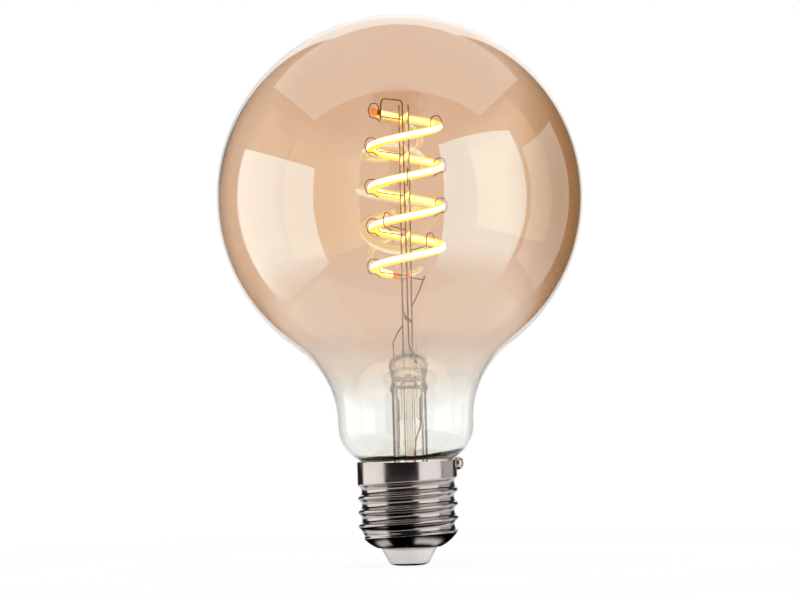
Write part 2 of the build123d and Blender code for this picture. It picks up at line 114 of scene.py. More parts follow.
def start_material(name):
    """An empty material and its tree, object coordinates and output node."""
    material = bpy.data.materials.new(name)
    material.use_nodes = True
    tree = material.node_tree
    tree.nodes.clear()
    place = add_node(tree, "ShaderNodeTexCoord").outputs["Object"]
    output = add_node(tree, "ShaderNodeOutputMaterial")
    return material, tree, place, output


def ramp(tree, source, low, high, to_low=0.0, to_high=1.0):
    """Maps a number smoothly from one range to another, held at both ends."""
    inputs = {"Value": source, "From Min": low, "From Max": high, "To Min": to_low, "To Max": to_high}
    node = add_node(tree, "ShaderNodeMapRange", inputs, interpolation_type="SMOOTHSTEP")
    return node.outputs["Result"]


def maths(tree, operation, first, *others):
    """A Math node on one or two numbers or sockets, or a chain of nodes on more."""
    if not others:
        return add_node(tree, "ShaderNodeMath", {0: first}, operation=operation).outputs[0]
    for other in others:
        first = add_node(tree, "ShaderNodeMath", {0: first, 1: other}, operation=operation).outputs[0]
    return first


def blend_colours(tree, factor, first, second):
    """Mixes two colours, each a hex code or a socket."""
    inputs = {0: factor, 6: first, 7: second}
    return add_node(tree, "ShaderNodeMix", inputs, data_type="RGBA").outputs[2]


def split(tree, place):
    """The three coordinates of a place or a direction."""
    return add_node(tree, "ShaderNodeSeparateXYZ", {0: place}).outputs


def edge_on(tree, blend):
    """0 where the surface faces the eye, rising to 1 where it is seen edge on."""
    return add_node(tree, "ShaderNodeLayerWeight", {"Blend": blend}).outputs["Facing"]


def noise(tree, place, grain_mm, detail=2.0, roughness=0.5):
    """Noise whose patches are about grain_mm across."""
    inputs = {"Vector": place, "Scale": 1.0 / (grain_mm * MM), "Detail": detail, "Roughness": roughness}
    return add_node(tree, "ShaderNodeTexNoise", inputs).outputs["Fac"]


def bump(tree, height, depth_mm):
    """A bump of a real depth."""
    inputs = {"Height": height, "Strength": 1.0, "Distance": depth_mm * MM}
    return add_node(tree, "ShaderNodeBump", inputs).outputs["Normal"]


def mix_shaders(tree, factor, first, second):
    """The first shader where the factor is 0 and the second where it is 1."""
    return add_node(tree, "ShaderNodeMixShader", {0: factor, 1: first.outputs[0], 2: second.outputs[0]})


def glass_shader(tree, ior, tint, waves, mirrors=UNTINTED):
    """Smooth glass with its tint, the waves in its surface and the tint of what it mirrors."""
    return add_node(tree, "ShaderNodeBsdfPrincipled", {
        "Roughness": 0.0, "IOR": ior, "Transmission Weight": 1.0, "Specular Tint": mirrors,
        "Base Color": tint, "Normal": waves})


def see_lamps_through(tree, glass, tint, output):
    """Lets the lamps' light pass a glass wall, tinted as the wall is."""
    path = add_node(tree, "ShaderNodeLightPath")
    clear = add_node(tree, "ShaderNodeBsdfTransparent", {"Color": tint})
    wall = mix_shaders(tree, path.outputs["Is Shadow Ray"], glass, clear)
    tree.links.new(wall.outputs[0], output.inputs["Surface"])


def opaque_shader(tree, output, inputs):
    """Gives the whole surface one shader."""
    shader = add_node(tree, "ShaderNodeBsdfPrincipled", inputs)
    tree.links.new(shader.outputs[0], output.inputs["Surface"])


# ---------------------------------------------------------------- finishes

def amber_lustre_glass(finish):
    """Soda-lime glass, blown, with a fired lustre that was sprayed on from the top. The lustre
    mirrors more blue and green than red, so it looks amber against the light and bluish white
    where it mirrors a lamp. It thins out at the neck."""
    material, tree, place, output = start_material("amber_lustre_soda_lime_glass")
    across, depth, height = split(tree, place)
    drift = maths(tree, "MULTIPLY", noise(tree, place, 26.0), 6 * MM)
    sprayed = ramp(tree, maths(tree, "ADD", height, drift), finish.fade_low, finish.fade_high)
    facing = edge_on(tree, 0.28)

    # The lustre is tinted darker on the right: painted shade, not a thicker coat.
    right_painted_shade = ramp(tree, across, 26 * MM, 46 * MM)
    middle_tint = blend_colours(tree, right_painted_shade, "F1DECA", "CBA77E")
    limb_tint = blend_colours(tree, right_painted_shade, "C6A680", "AE8E66")
    lustre = blend_colours(tree, ramp(tree, facing, 0.3, 0.97), middle_tint, limb_tint)

    # The clear foot of the neck is tinted dark where the wall is seen edge on. Towards the cap this tint is
    # painted shade, darkest at the cap.
    above_cap = ramp(tree, height, 30 * MM, 44 * MM)
    cap_shaded_edge = blend_colours(tree, above_cap, "3C3A2B", "ABAA9D")
    clear_wall = blend_colours(tree, ramp(tree, facing, 0.58, 0.97), "F7F7F4", cap_shaded_edge)

    # A thick wavy dark line is painted into the glass on the front of the neck only, just above the cap,
    # and it rises to the right.
    rise = maths(tree, "MULTIPLY", maths(tree, "MAXIMUM", across, 0.0), 0.075)
    wave = maths(tree, "MULTIPLY", noise(tree, place, 6.0, 0.0), 0.8 * MM)
    middle = maths(tree, "ADD", rise, wave, 27.9 * MM)
    away = maths(tree, "ABSOLUTE", maths(tree, "SUBTRACT", height, middle))
    half_thick = maths(tree, "ADD", maths(tree, "MULTIPLY", rise, 0.35), 0.3 * MM)
    line = ramp(tree, maths(tree, "SUBTRACT", away, half_thick), 0.0, 0.2 * MM, 1.0, 0.0)
    front = ramp(tree, depth, -6 * MM, 0.0, 1.0, 0.0)
    clear_wall = blend_colours(tree, maths(tree, "MULTIPLY", line, front), clear_wall, "1C1A12")

    waves = bump(tree, noise(tree, place, 40.0, 0.0), 0.12)
    bare = glass_shader(tree, SODA_LIME_IOR, clear_wall, waves)
    coated = glass_shader(tree, LUSTRE_IOR, lustre, waves, LUSTRE_MIRRORS)
    glass = mix_shaders(tree, sprayed, bare, coated)
    see_lamps_through(tree, glass, blend_colours(tree, sprayed, "FCFCFA", "EFDCC8"), output)
    return material


def drawn_clear_glass():
    """Lead glass tube, drawn and fire polished. Its edges look dark, and golden brown round the
    press, where the spiral lights them."""
    material, tree, place, output = start_material("drawn_lead_glass")
    warm = ramp(tree, split(tree, place)["Z"], ROD_LOW.z - 11 * MM, ROD_LOW.z - 7 * MM)
    wider = maths(tree, "ADD", edge_on(tree, 0.35), maths(tree, "MULTIPLY", warm, 0.14))
    edge_tint = blend_colours(tree, warm, "120C06", "2E1200")
    tint = blend_colours(tree, ramp(tree, wider, 0.20, 0.46), "FBF8F4", edge_tint)
    streaks = bump(tree, noise(tree, place, 3.0, 1.0), 0.02)
    see_lamps_through(tree, glass_shader(tree, DRAWN_GLASS_IOR, tint, streaks), tint, output)
    return material


def warm_rod_glass():
    """The glass rod that carries the hooks, brown along its edges in the spiral's light."""
    material, tree, place, output = start_material("drawn_glass_rod")
    tint = blend_colours(tree, ramp(tree, edge_on(tree, 0.4), 0.12, 0.38), "FDF8F0", "280F00")
    streaks = bump(tree, noise(tree, place, 2.0, 1.0), 0.015)
    see_lamps_through(tree, glass_shader(tree, DRAWN_GLASS_IOR, tint, streaks), tint, output)
    return material


def nickel_plated_brass():
    """Brass sheet, deep drawn and rolled, under bright nickel: a warm grey mirror with fine upright
    lines from the drawing die."""
    material, tree, place, output = start_material("bright_nickel_on_rolled_brass")
    upright = add_node(tree, "ShaderNodeMapping", {"Vector": place, "Scale": (1.0, 1.0, 0.06)})
    die_lines = noise(tree, upright.outputs[0], 0.3, 3.0)
    smear = noise(tree, place, 5.0, 2.0)
    opaque_shader(tree, output, {
        "Metallic": 1.0, "Base Color": blend_colours(tree, smear, "C8C0BC", "BDB3AE"),
        "Roughness": ramp(tree, smear, 0.3, 0.7, 0.15, 0.22), "Normal": bump(tree, die_lines, 0.006)})
    return material


def lit_phosphor_silicone(finish, sizes):
    """Silicone with yellow phosphor over a row of chips: white-hot along its middle, yellow at its
    upper and lower edges, and grainy with chips on the side that faces the rod."""
    material, tree, place, output = start_material("lit_phosphor_silicone")
    centred = add_node(tree, "ShaderNodeMapping", {"Vector": place, "Location": (-sizes.coil_x, 0, 0)})
    x, y, z = split(tree, centred.outputs[0])

    # Above or below the strip's middle line, in strip radii, found from the turn and the climb.
    turn = maths(tree, "DIVIDE", maths(tree, "ARCTAN2", y, x), 2 * pi)
    start = sizes.coil_top - sizes.coil_pitch * sizes.coil_top_angle / 360
    climb = maths(tree, "DIVIDE", maths(tree, "SUBTRACT", z, start), sizes.coil_pitch)
    laps = maths(tree, "SUBTRACT", climb, turn)
    offset = maths(tree, "SUBTRACT", laps, maths(tree, "ROUND", laps))
    beside = maths(tree, "MULTIPLY", offset, sizes.coil_pitch / sizes.strip_radius)
    upper = ramp(tree, beside, 0.6, 0.9)
    lower = ramp(tree, maths(tree, "MULTIPLY", beside, -1.0), 0.25, 0.65)
    edge = maths(tree, "MAXIMUM", upper, lower)
    squares = [maths(tree, "MULTIPLY", item, item) for item in (x, y)]
    reach = maths(tree, "SQRT", maths(tree, "ADD", *squares))
    inside = sizes.coil_radius - 0.3 * sizes.strip_radius
    inner = ramp(tree, reach, inside, sizes.coil_radius, 1.0, 0.0)

    chips = maths(tree, "SINE", maths(tree, "MULTIPLY", turn, 2 * pi * CHIPS_IN_A_TURN))
    grains = noise(tree, place, 0.5, 1.0)
    speckle = maths(tree, "ADD", maths(tree, "MULTIPLY", chips, 0.25), grains)
    grain = maths(tree, "MULTIPLY", ramp(tree, speckle, 0.2, 0.8), inner)
    glow = blend_colours(tree, edge, "FFFFFA", "FFEC08")
    glow = blend_colours(tree, maths(tree, "MULTIPLY", inner, 0.45), glow, "FFE628")
    glow = blend_colours(tree, maths(tree, "MULTIPLY", grain, 0.6), glow, "FFD94A")
    opaque_shader(tree, output, {
        "Roughness": 0.35, "Base Color": blend_colours(tree, grains, "F2C84A", "E8B838"),
        "Emission Color": glow, "Normal": bump(tree, grains, 0.01),
        "Emission Strength": ramp(tree, edge, 0.0, 1.0, finish.glow, finish.glow * 0.42)})
    return material


def unlit_phosphor_silicone():
    """The strip's ends, past the last chip, where no chip lights the silicone from inside: the
    same silicone, orange, with a painted glow."""
    material, tree, place, output = start_material("unlit_phosphor_silicone")
    patches = noise(tree, place, 0.8, 2.0)
    skin = blend_colours(tree, patches, "FFB428", "E08A14")
    # The emission is a painted glow, which no chip gives.
    opaque_shader(tree, output, {
        "Roughness": 0.3, "Emission Strength": 0.55, "Base Color": skin, "Emission Color": skin,
        "Normal": bump(tree, patches, 0.02)})
    return material


def plain_finish(name, first, second, grain_mm, rough, metallic, depth_mm, coat=0.0):
    """A finish of two near colours in patches of a real size, with a bump of a real depth."""
    material, tree, place, output = start_material(name)
    patches = noise(tree, place, grain_mm, 3.0, 0.6)
    opaque_shader(tree, output, {
        "Metallic": metallic, "Coat Weight": coat,
        "Base Color": blend_colours(tree, ramp(tree, patches, 0.35, 0.65), first, second),
        "Roughness": ramp(tree, patches, 0.3, 0.7, *rough), "Normal": bump(tree, patches, depth_mm)})
    return material


# By slot: a name, two colours, the size of their patches in mm, the roughness from and to, how
# metallic it is, the bump's depth in mm and, for one of them, its glossy skin.
PLAIN_FINISHES = {
    # Drawn wire, its brown and orange a painted reflection of the spiral's light and the amber glass round
    # it.
    "nickel_wire": ("drawn_nickel_wire", "B46E2C", "80481A", 1.2, (0.25, 0.4), 0.5, 0.004),
    # Copper-clad wire, orange, browner where the flame touched it.
    "copper_wire": ("copper_clad_wire", "B06A28", "7C4418", 1.5, (0.25, 0.4), 0.6, 0.004),
    # Urea moulding, glossy off-white, with a faint orange-peel surface.
    "white_insulator": ("moulded_urea", "F0EFED", "E6E4E1", 2.5, (0.22, 0.32), 0.0, 0.01, 0.2),
    # Hot-dipped tin on steel: pale and a little uneven.
    "tinned_contact": ("tinned_steel", "D2D0CB", "BDBAB3", 1.2, (0.2, 0.35), 1.0, 0.01),
    # Tin solder that set in one drop: a bright skin with shallow ripples.
    "solder": ("set_tin_solder", "D6D3CD", "B4ADA2", 0.7, (0.06, 0.14), 1.0, 0.05),
    # Basing cement, baked marble powder and resin: matt, pale brown, gritty.
    "cement": ("baked_basing_cement", "CFC5B4", "B5A892", 0.5, (0.75, 0.95), 0.0, 0.08),
    # Glass-fibre board under green solder mask.
    "board": ("solder_masked_fibreglass", "2C6B43", "235A38", 0.8, (0.35, 0.5), 0.0, 0.01),
    # Deep-drawn aluminium, satin.
    "can_aluminium": ("drawn_aluminium", "C9CBCE", "B8BABD", 1.0, (0.28, 0.4), 1.0, 0.006),
    # Moulded epoxy, matt black from the mould's sparked face.
    "black_moulding": ("moulded_epoxy", "26272A", "1D1E20", 0.3, (0.5, 0.65), 0.0, 0.01),
    # Dipped flameproof coating, grey-green and slightly lumpy.
    "fuse_coating": ("dipped_flameproof_coating", "7FA391", "6D907F", 0.9, (0.45, 0.6), 0.0, 0.03),
}


def make_finishes(sizes, finish):
    """Every finish of the lamp, by the name that its pieces use."""
    finishes = {
        "amber_glass": amber_lustre_glass(finish),
        "clear_glass": drawn_clear_glass(),
        "rod_glass": warm_rod_glass(),
        "nickel_plate": nickel_plated_brass(),
        "lit_filament": lit_phosphor_silicone(finish, sizes),
        "unlit_filament": unlit_phosphor_silicone(),
    }
    finishes.update({slot: plain_finish(*look) for slot, look in PLAIN_FINISHES.items()})
    return finishes


# ---------------------------------------------------------------- modelling

# The finishes by name, filled by the first operator.
MATERIALS = {}


def deselect():
    """Leaves nothing selected."""
    for item in bpy.context.selected_objects:
        item.select_set(False)


def make_active(piece):
    """Makes one piece the only one selected, and the active one."""
    deselect()
    piece.select_set(True)
    bpy.context.view_layer.objects.active = piece


def apply_modifier(piece, kind, **settings):
    """Adds one modifier, sets it and applies it."""
    make_active(piece)
    bpy.ops.object.modifier_add(type=kind)
    modifier = piece.modifiers[-1]
    for name, value in settings.items():
        setattr(modifier, name, value)
    bpy.ops.object.modifier_apply(modifier=modifier.name)


def bake_place(piece):
    """Moves the piece's place into its mesh."""
    make_active(piece)
    bpy.ops.object.transform_apply(location=True, rotation=True, scale=True)


def soften(piece, angle):
    """Smooth shading over edges that turn by less than an angle in degrees."""
    make_active(piece)
    bpy.ops.object.shade_smooth_by_angle(angle=radians(angle))


def clean_mesh(piece, merge=None, turn_faces=True, inside=False):
    """Joins points that are nearer than the merge distance and turns the faces one way."""
    make_active(piece)
    bpy.ops.object.mode_set(mode="EDIT")
    bpy.ops.mesh.select_all(action="SELECT")
    if merge:
        bpy.ops.mesh.remove_doubles(threshold=merge)
    if turn_faces:
        bpy.ops.mesh.normals_make_consistent(inside=inside)
    bpy.ops.object.mode_set(mode="OBJECT")


def extrude(step):
    """Draws what is selected out by a step."""
    bpy.ops.mesh.extrude_region_move(TRANSFORM_OT_translate={"value": step})


def finish_piece(piece, slot, replaces=(), look=None):
    """Gives a piece its material and its place on the lamp's body."""
    if not piece.data.materials:
        piece.data.materials.append(MATERIALS[look or slot])
    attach(piece, "root")
    if replaces:
        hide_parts(*replaces)


def arc(centre, radius, start, end, steps):
    """Points of an arc in an outline, angles in radians."""
    turns = [start + (end - start) * i / steps for i in range(steps + 1)]
    return [(centre[0] + radius * cos(a), centre[1] + radius * sin(a)) for a in turns]


def placed(outline, level):
    """An outline that is typed in mm, in metres and at its level."""
    return [(x * MM, level + z * MM) for x, z in outline]


def lathe(name, outline, steps=96, axis_x=0.0, inside=False):
    """Draws an outline vertex by vertex, spins it round an upright axis and closes its poles and seam."""
    deselect()
    bpy.ops.mesh.primitive_plane_add(size=0.01)
    piece = bpy.context.object
    piece.name = name
    bpy.ops.object.mode_set(mode="EDIT")
    bpy.ops.mesh.merge(type="CENTER")
    bpy.ops.transform.translate(value=(axis_x + outline[0][0], 0, outline[0][1]))
    for (x0, z0), (x1, z1) in zip(outline, outline[1:]):
        if abs(x1 - x0) + abs(z1 - z0) > SAME_POINT:
            extrude((x1 - x0, 0, z1 - z0))
    bpy.ops.mesh.select_all(action="SELECT")
    bpy.ops.mesh.spin(steps=steps, angle=2 * pi, center=(axis_x, 0, 0), axis=(0, 0, 1))
    bpy.ops.object.mode_set(mode="OBJECT")
    clean_mesh(piece, LATHE_MERGE, inside=inside)
    return piece


def fused_copy(name, node, angle):
    """A copy of a CAD node with its loose triangles joined and its round faces smooth."""
    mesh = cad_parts[node].data.copy()
    mesh.materials.clear()
    piece = bpy.data.objects.new(name, mesh)
    bpy.context.scene.collection.objects.link(piece)
    clean_mesh(piece, SAME_POINT, turn_faces=False)
    soften(piece, angle)
    return piece


def globe_outline(sizes):
    """The outline of the globe from its crown to the seal tube's foot."""
    neck = sizes.neck_diameter / 2
    globe = sizes.globe_diameter / 2
    tube = sizes.seal_tube_diameter / 2
    rim = SHELL_HIGH.z
    shoulder = (neck - sizes.shoulder_radius, rim + sizes.shoulder_rise)
    hollow = (neck + sizes.neck_fillet, shoulder[1] + sizes.neck_straight)
    reach = globe + sizes.neck_fillet
    centre = (0.0, hollow[1] + sqrt(reach ** 2 - hollow[0] ** 2))
    foot_x = tube + sizes.seal_fillet
    foot_reach = sizes.shoulder_radius + sizes.seal_fillet
    foot = (foot_x, shoulder[1] - sqrt(foot_reach ** 2 - (foot_x - shoulder[0]) ** 2))
    meet = -acos(hollow[0] / reach)
    step = -acos((foot[0] - shoulder[0]) / foot_reach)
    outline = arc(centre, globe, pi / 2, meet, 80)
    outline += arc(hollow, sizes.neck_fillet, pi + meet, pi, 18)
    outline += arc(shoulder, sizes.shoulder_radius, 0, step, 16)
    outline += arc(foot, sizes.seal_fillet, pi + step, pi, 6)
    outline.append((tube, rim - sizes.seal_depth))
    return outline


# ---------------------------------------------------------------- sizes and finishes

def length(name, description, default):
    """A length in the scene's unit."""
    return bpy.props.FloatProperty(name=name, description=description, default=default,
                                   unit="LENGTH", precision=5, min=0.0)


class LampSizes(bpy.types.PropertyGroup):
    """The lamp's sizes. Those that the CAD frame shows start from it."""

    globe_diameter: length("Globe diameter", "Outside diameter of the globe", CAD_BOX[1].x - CAD_BOX[0].x)
    glass_wall: length("Glass wall", "Thickness of the blown wall", 0.8 * MM)
    neck_diameter: length("Neck diameter", "Outside diameter of the neck", 35.3 * MM)
    neck_fillet: length("Neck hollow", "Radius between the globe and the neck", 24 * MM)
    neck_straight: length("Neck straight", "Height of the neck's straight part", 1.0 * MM)
    shoulder_radius: length("Neck shoulder", "Radius that tucks the neck into the cap", 10 * MM)
    shoulder_rise: length("Shoulder rise", "Height of the shoulder's centre above the rim", 9.3 * MM)
    seal_tube_diameter: length("Seal tube", "Diameter of the tube that is sealed to the stem", 22 * MM)
    seal_fillet: length("Seal fillet", "Radius between the shoulder and the seal tube", 1.5 * MM)
    seal_depth: length("Seal depth", "Depth of the seal below the cap's rim", 5.6 * MM)
    stem_diameter: length("Stem tube", "Outside diameter of the stem's tube", 9.0 * MM)
    stem_wall: length("Stem wall", "Thickness of the stem's tube", 0.9 * MM)
    stem_cavity: length("Stem cavity", "Height of the stem's open tube", 25.5 * MM)
    stem_press: length("Press", "Height between the tube's ceiling and the blown hole", 1.0 * MM)
    sleeve_radius: length("Sleeve radius", "Radius of the sleeves round the seal wires", 0.95 * MM)
    sleeve_spread: length("Sleeve spread", "Distance of each sleeve from the stem's axis", 2.85 * MM)
    sleeve_height: length("Sleeve height", "Height of the sleeves below the press", 9.4 * MM)
    tube_diameter: length("Pumping tube", "Outside diameter of the pumping tube", 2.86 * MM)
    tube_bore: length("Pumping bore", "Bore of the pumping tube", 1.7 * MM)
    sheet: length("Cap sheet", "Thickness of the rolled sheet", 0.3 * MM)
    thread_pitch: length("Thread pitch", "Pitch of the rolled thread", 3.629 * MM)
    thread_depth: length("Thread depth", "Depth of the rolled thread", 1.0 * MM)
    collar: length("Collar", "Height of the plain collar above the thread", 5.8 * MM)
    shoulder_height: length("Cap shoulder", "Height of the cap's rounded shoulder", 4.1 * MM)
    lip_radius: length("Cap lip", "Radius of the lip that holds the insulator", 8.3 * MM)
    coil_x: length("Spiral offset", "Distance of the spiral's axis from the lamp's", 1.73 * MM)
    coil_radius: length("Spiral radius", "Radius of the spiral's middle line", 8.85 * MM)
    coil_pitch: length("Spiral pitch", "Rise of the spiral in one turn", 10.4 * MM)
    coil_top: length("Spiral top", "Level of the spiral's upper end", 118.1 * MM)
    coil_top_angle: bpy.props.FloatProperty(
        name="Upper end", description="Angle of the spiral's upper end from +X, in degrees", default=152.0)
    coil_end_angle: bpy.props.FloatProperty(
        name="Lower end", description="Angle of the spiral's lower end from +X, in degrees", default=92.0)
    strip_radius: length("Strip radius", "Radius of the coated strip", 1.05 * MM)


class LampFinish(bpy.types.PropertyGroup):
    """What a user would change in the lamp's finishes."""

    fade_low: length("Fade low", "Level below which the glass is clear", 43 * MM)
    fade_high: length("Fade high", "Level above which the glass has its full lustre", 66 * MM)
    glow: bpy.props.FloatProperty(
        name="Glow", description="Strength of the lit strip", default=3.3, min=0.0)


# ---------------------------------------------------------------- operators

class LAMP_OT_finishes(bpy.types.Operator):
    """Makes the lamp's materials"""
    bl_idname = "lamp.finishes"
    bl_label = "Finishes"

    def execute(self, context):
        MATERIALS.update(make_finishes(context.scene.lamp_sizes, context.scene.lamp_finish))
        return {"FINISHED"}


class LAMP_OT_globe(bpy.types.Operator):
    """Blows the globe: a spun outline with a wall of its real thickness"""
    bl_idname = "lamp.globe"
    bl_label = "Globe"

    def execute(self, context):
        sizes = context.scene.lamp_sizes
        globe = lathe("blown_globe", globe_outline(sizes), 128)
        apply_modifier(globe, "SOLIDIFY", thickness=sizes.glass_wall, offset=-1.0, use_even_offset=True)
        soften(globe, 60.0)
        finish_piece(globe, "amber_glass", ["globe_envelope"])
        return {"FINISHED"}


# Outlines in mm: the distance from the stem's axis, and the level over the top of the pumping tube
# or over the rod's foot. The hole is an arch over a flat ring, closed off from the tube below.
BLOWN_HOLE = arc((0.0, -1.2), 3.6, pi / 2, radians(42), 12)
BLOWN_HOLE += arc((2.25, 0.65), 0.6, radians(35), -pi / 2, 8)
BLOWN_HOLE += [(1.45, -0.15), (1.2, -0.3), (0.0, -0.3)]
ROD_FOOT = [(1.42, 1.3), (1.66, 1.1), (1.72, 0.6), (1.62, 0.25),
            (1.9, 0.05), (1.9, -0.05), (1.42, -0.05), (1.42, 1.3)]


class LAMP_OT_stem(bpy.types.Operator):
    """Turns the stem's glass, its press with the blown hole, the sleeves, the pumping tube and the rod"""
    bl_idname = "lamp.stem"
    bl_label = "Stem"

    def execute(self, context):
        sizes = context.scene.lamp_sizes
        ceiling = TUBE_FOOT + sizes.stem_cavity
        press = ceiling + sizes.stem_press
        self.stem(sizes, ceiling, press)
        self.pumping_tube(sizes, press)
        self.rod()
        return {"FINISHED"}

    def stem(self, sizes, ceiling, press):
        """The flare, tube and press in one turned piece, with the sleeves and the hole joined to it."""
        head, half_width, crown, waist, vault = ROD_LOW.z, 5.2 * MM, 3.6 * MM, 4.3 * MM, 1.2 * MM
        radius = sizes.stem_diameter / 2
        inner = radius - sizes.stem_wall
        reach = sizes.seal_tube_diameter / 2 - STEM_X
        flare = reach - sizes.glass_wall - radius
        bend = (radius + flare, TUBE_FOOT + flare)
        outline = [(0.0, head)]
        outline += arc((half_width - crown, head - crown), crown, pi / 2, 0, 14)
        outline += [(waist, ceiling + sizes.stem_press / 2), (radius, ceiling - sizes.stem_press)]
        outline += arc(bend, flare, pi, 1.5 * pi, 12)
        outline += [(reach, TUBE_FOOT), (reach, TUBE_FOOT - sizes.stem_wall)]
        outline += arc(bend, flare + sizes.stem_wall, 1.5 * pi, pi, 12)
        outline += arc((inner - vault, ceiling - vault), vault, 0, pi / 2, 6)
        outline.append((0.0, ceiling))
        stem = lathe("pressed_stem", outline, axis_x=STEM_X)
        hole = lathe("blown_hole", placed(BLOWN_HOLE, press), 64, STEM_X, inside=True)
        for hand in (-1, 1):
            sleeve = self.sleeve(STEM_X + hand * sizes.sleeve_spread, ceiling, sizes)
            apply_modifier(stem, "BOOLEAN", object=sleeve, operation="UNION", solver="EXACT")
            bpy.data.objects.remove(sleeve)
        make_active(stem)
        hole.select_set(True)
        bpy.ops.object.join()
        soften(stem, 40.0)
        finish_piece(stem, "clear_glass", ["stem_glass"])

    def sleeve(self, x, ceiling, sizes):
        """A glass sleeve with a round end, whose top is melted into the press."""
        radius, melted = sizes.sleeve_radius, 0.3 * MM
        low = ceiling - sizes.sleeve_height
        outline = [(0.0, ceiling + melted), (radius, ceiling + melted)]
        outline += arc((0.0, low + radius), radius, 0, -pi / 2, 10)
        return lathe("sleeve", outline, 40, x)

    def pumping_tube(self, sizes, press):
        """The tube that the lamp was pumped through, melted shut at its lower end."""
        radius, bore = sizes.tube_diameter / 2, sizes.tube_bore / 2
        closed = TUBE_LOW.z + radius
        outline = [(bore, press), (radius, press)]
        outline += arc((0.0, closed), radius, 0, -pi / 2, 12)
        outline += [(0.0, closed), (bore, closed), (bore, press)]
        tube = lathe("pumping_tube", outline, 64, STEM_X)
        soften(tube, 40.0)
        finish_piece(tube, "clear_glass", ["exhaust_tube"])

    def rod(self):
        """The rod leans as the CAD's does, with a collar where it was melted on."""
        low, high = ROD_LOW.z, ROD_HIGH.z
        radius = (ROD_HIGH.y - ROD_LOW.y) / 2
        deselect()
        bpy.ops.mesh.primitive_cylinder_add(vertices=64, radius=radius, depth=high - low,
                                            location=(STEM_X, 0, (low + high) / 2))
        rod = bpy.context.object
        rod.name = "hook_rod"
        bake_place(rod)
        lean = (ROD_HIGH.x - ROD_LOW.x - 2 * radius) / (high - low)
        for vertex in rod.data.vertices:
            vertex.co.x += lean * (vertex.co.z - low)
        soften(rod, 40.0)
        finish_piece(rod, "clear_glass", ["support_rod"], look="rod_glass")

        foot = lathe("rod_foot", placed(ROD_FOOT, low), 48, STEM_X)
        apply_modifier(foot, "SUBSURF", levels=1, render_levels=1)
        soften(foot, 60.0)
        finish_piece(foot, "clear_glass", look="rod_glass")


class LAMP_OT_spiral(bpy.types.Operator):
    """Winds the coated strip with a screw modifier, rounds its upper end and closes its lower one"""
    bl_idname = "lamp.spiral"
    bl_label = "Spiral"

    whole_turns = 4
    step_angle = 4
    strip_sides = 24
    # Where the ends are unlit, in degrees from +X, because the chips stop before them.
    unlit_tip = 146.5
    unlit_tail = (60, 120)
    dome_angles = (25, 50, 70)

    def execute(self, context):
        sizes = context.scene.lamp_sizes
        total = sizes.coil_top_angle - sizes.coil_end_angle + 360 * self.whole_turns
        rise = sizes.coil_pitch * total / 360
        foot = sizes.coil_top - rise
        deselect()
        bpy.ops.mesh.primitive_circle_add(vertices=self.strip_sides, radius=sizes.strip_radius,
                                          location=(sizes.coil_radius, 0, 0), rotation=(pi / 2, 0, 0))
        strip = bpy.context.object
        strip.name = "coated_spiral"
        bake_place(strip)
        steps = int(total / self.step_angle)
        apply_modifier(strip, "SCREW", axis="Z", angle=radians(total), screw_offset=rise, steps=steps,
                       render_steps=steps, iterations=1, use_merge_vertices=False)
        strip.rotation_euler = (0, 0, radians(sizes.coil_end_angle))
        strip.location = (sizes.coil_x, 0, foot)
        bake_place(strip)

        slope = sizes.coil_pitch / (2 * pi * sizes.coil_radius)
        for angle, level, hand, round_end in (
            (sizes.coil_top_angle, sizes.coil_top, 1, True),
            (sizes.coil_end_angle, foot, -1, False),
        ):
            turn = radians(angle)
            middle = Vector((sizes.coil_x + sizes.coil_radius * cos(turn),
                             sizes.coil_radius * sin(turn), level))
            ahead = Vector((-sin(turn), cos(turn), slope)).normalized() * hand
            self.close_end(strip, middle, ahead, sizes.strip_radius, round_end)
        clean_mesh(strip)
        soften(strip, 60.0)
        self.light(strip, sizes, foot)
        finish_piece(strip, "lit_filament", ["led_filament"])
        return {"FINISHED"}

    def close_end(self, strip, middle, ahead, radius, round_end):
        """Closes one end of the strip, with a dome or flat."""
        make_active(strip)
        bpy.ops.object.mode_set(mode="EDIT")
        bpy.ops.mesh.select_mode(type="VERT")
        bpy.ops.mesh.select_all(action="DESELECT")
        bpy.ops.mesh.select_non_manifold()
        bpy.ops.object.mode_set(mode="OBJECT")
        for vertex in strip.data.vertices:
            near = (vertex.co - middle).length < radius * 1.2
            vertex.select = vertex.select and near
        for edge in strip.data.edges:
            edge.select = all(strip.data.vertices[i].select for i in edge.vertices)
        bpy.ops.object.mode_set(mode="EDIT")
        if round_end:
            lift, width = 0.0, 1.0
            for angle in self.dome_angles:
                last_lift, lift = lift, sin(radians(angle))
                last_width, width = width, cos(radians(angle))
                extrude(ahead * radius * (lift - last_lift))
                self.shrink(width / last_width, middle + ahead * radius * lift)
            extrude(ahead * radius * 0.06)
            bpy.ops.mesh.merge(type="CENTER")
        else:
            extrude(ahead * radius * 0.15)
            self.shrink(0.85, middle + ahead * radius * 0.15)
            bpy.ops.mesh.edge_face_add()
        bpy.ops.object.mode_set(mode="OBJECT")

    def shrink(self, size, centre):
        """Scales what is selected about a point."""
        bpy.ops.transform.resize(value=(size, size, size), center_override=centre)

    def light(self, strip, sizes, foot):
        """Gives the strip its lit material, and its two ends the unlit one."""
        for name in ("lit_filament", "unlit_filament"):
            strip.data.materials.append(MATERIALS[name])
        for face in strip.data.polygons:
            spot = face.center
            angle = degrees(atan2(spot.y, spot.x - sizes.coil_x))
            high = spot.z > sizes.coil_top - 2 * sizes.strip_radius
            low = spot.z < foot + 2.2 * sizes.strip_radius
            tip = high and self.unlit_tip < angle
            tail = low and self.unlit_tail[0] < angle < self.unlit_tail[1]
            face.material_index = 1 if tip or tail else 0


